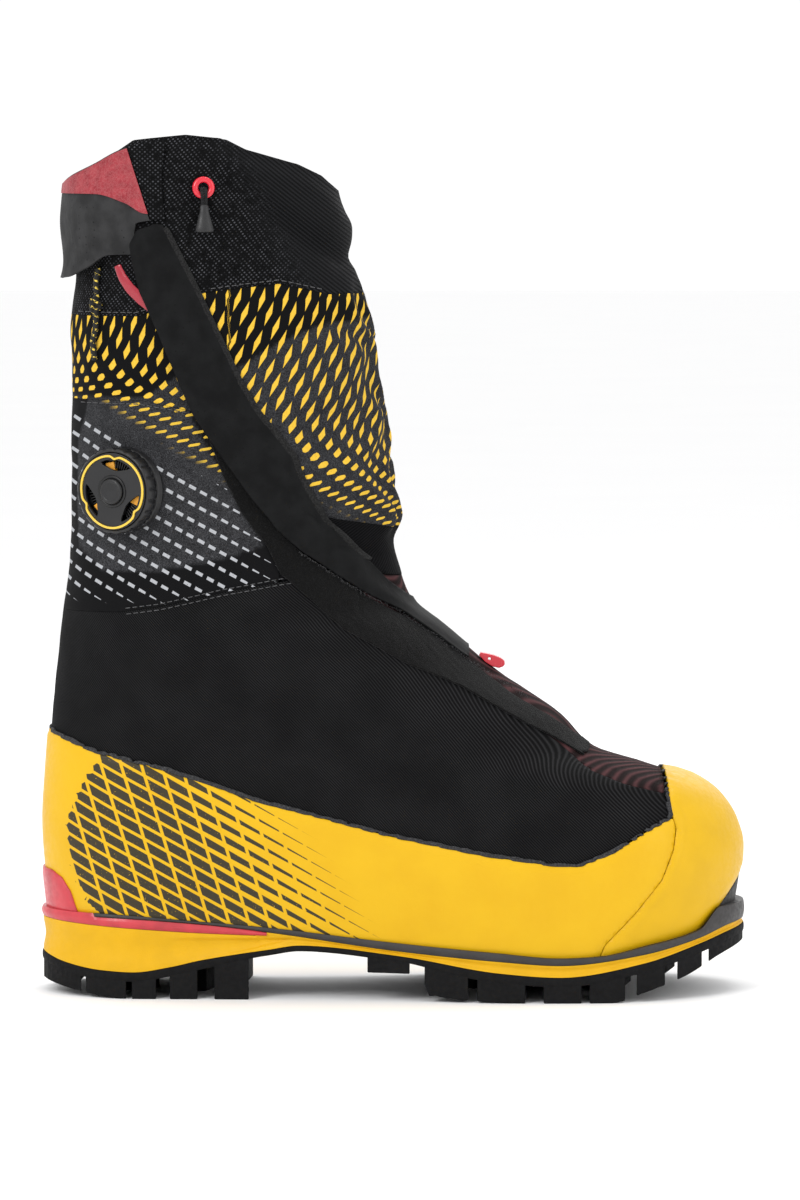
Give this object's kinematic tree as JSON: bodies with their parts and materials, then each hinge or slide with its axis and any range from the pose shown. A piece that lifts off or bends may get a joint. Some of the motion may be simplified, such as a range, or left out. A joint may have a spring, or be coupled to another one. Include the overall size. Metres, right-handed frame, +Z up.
{
  "type": "double mountaineering boot",
  "caption": "Right high-altitude double boot: lugged sole with crampon ledges, rubber rand, zipped gaiter with flap, lacing dial, removable foam inner boot.",
  "frame": {"origin": "on the ground below the middle of the boot's box", "axes": "+X to the toe, +Y to the medial (inner) side, +Z up"},
  "size_m": [0.319, 0.119, 0.387],
  "materials": {
    "black_rubber": "matte moulded lug rubber",
    "yellow_rubber": "matte moulded rubber",
    "yellow_foam": "satin moulded polyurethane",
    "red_plastic": "satin moulded plastic",
    "dark_plastic": "satin moulded plastic",
    "ripstop": "black twill cloth",
    "heather": "grey heather cloth with printed dashes",
    "diamond_cloth": "dark stretch cloth with printed yellow diamonds",
    "stretch": "black ribbed stretch knit",
    "flap_cloth": "perforated black laminate",
    "hook_loop": "fuzzy hook-and-loop pile",
    "cord": "braided cord",
    "red_cloth": "red coated cloth",
    "dial_plastic": "satin moulded plastic",
    "dial_trim": "glossy yellow trim",
    "steel": "brushed",
    "board": "rigid composite board",
    "felt": "insulating felt",
    "shell_cloth": "coated inner shell cloth",
    "liner_foam": "cloth-covered foam",
    "liner_trim": "yellow cloth"
  },
  "bodies": {
    "boot": {"outsole": "black_rubber", "midsole": "yellow_foam", "heel_insert": "red_plastic", "welt_frame": "dark_plastic", "rand": "yellow_rubber", "toe_cap": "yellow_rubber", "toe_bumper": "black_rubber", "heel_counter": "red_plastic", "lower_gaiter": "ripstop", "instep_panel": "ripstop", "flex_panel": "stretch", "mid_cuff": "heather", "upper_cuff": "diamond_cloth", "collar": "stretch", "inner_shell": "shell_cloth", "shell_tongue": "shell_cloth", "lasting_board": "board", "insulating_insole": "felt", "liner_body": "liner_foam", "liner_tongue": "liner_foam", "liner_footbed": "liner_trim", "liner_strap": "hook_loop", "liner_pull_loop": "liner_trim", "lace": "steel", "lace_guide_medial_top": "dark_plastic", "lace_guide_lateral": "dark_plastic", "lace_guide_medial_low": "dark_plastic", "dial_base": "dial_plastic", "dial_ratchet": "dial_plastic", "zip_tape": "hook_loop", "zip_teeth": "dark_plastic", "flap_lower": "flap_cloth", "flap_hinge_tape": "flap_cloth", "hook_strip": "hook_loop", "strap_base": "flap_cloth", "eyelet": "red_plastic", "drawcord": "cord", "drawcord_tail": "cord", "hem_cord": "cord", "hem_cord_tail": "cord", "cord_knot": "cord"},
    "dial_post": {"dial_axle": "steel", "dial_screw": "steel"},
    "dial_knob": {"dial_knob": "dial_plastic", "dial_grip": "dial_plastic", "dial_trim_ring": "dial_trim", "dial_cap": "dial_plastic", "dial_pawl_disc": "dial_trim"},
    "dial_spool": {"dial_spool": "dial_plastic", "lace_winding": "steel"},
    "zip_slider": {"zip_slider": "dark_plastic", "zip_puller": "red_plastic"},
    "flap": {"flap_upper": "flap_cloth"},
    "closing_strap": {"collar_strap": "flap_cloth", "strap_patch": "red_cloth"},
    "cord_pull": {"cord_pull": "black_rubber"},
    "instep_tab": {"instep_tab": "red_plastic"}
  },
  "joints": [
    {"name": "dial_pull", "type": "slide", "parent": "boot", "child": "dial_post", "axis": [-0.4972, -0.8671, -0.0304], "range_m": [0, 0.003]},
    {"name": "dial_turn", "type": "hinge", "parent": "dial_post", "child": "dial_knob", "pos_m": [-0.11961, -0.0396, 0.2283], "axis": [-0.4972, -0.8671, -0.0304], "continuous": true},
    {"name": "spool_turn", "type": "hinge", "parent": "boot", "child": "dial_spool", "pos_m": [-0.11961, -0.0396, 0.2283], "axis": [-0.4972, -0.8671, -0.0304], "continuous": true},
    {"name": "zip_slide", "type": "slide", "parent": "boot", "child": "zip_slider", "axis": [0.3985, 0.0111, -0.9171], "range_m": [0, 0.02]},
    {"name": "flap_peel", "type": "hinge", "parent": "boot", "child": "flap", "pos_m": [-0.0435, -0.05008, 0.24436], "axis": [-0.5008, -0.0547, 0.8639], "range_deg": [0, 110]},
    {"name": "strap_open", "type": "hinge", "parent": "boot", "child": "closing_strap", "pos_m": [-0.1067, -0.05399, 0.34482], "axis": [-0.3237, 0.1888, 0.9271], "range_deg": [0, 80]},
    {"name": "cord_pull_swing", "type": "hinge", "parent": "boot", "child": "cord_pull", "pos_m": [-0.08322, -0.05441, 0.36258], "axis": [-0.9895, -0.1448, 0], "range_deg": [0, 90]},
    {"name": "instep_tab_flip", "type": "hinge", "parent": "boot", "child": "instep_tab", "pos_m": [0.03906, 0.00086, 0.15204], "axis": [0, -1, 0], "range_deg": [0, 80]}
  ],
  "couplings": [
    {"joint": "spool_turn", "follows": "dial_turn", "ratio": 1}
  ]
}
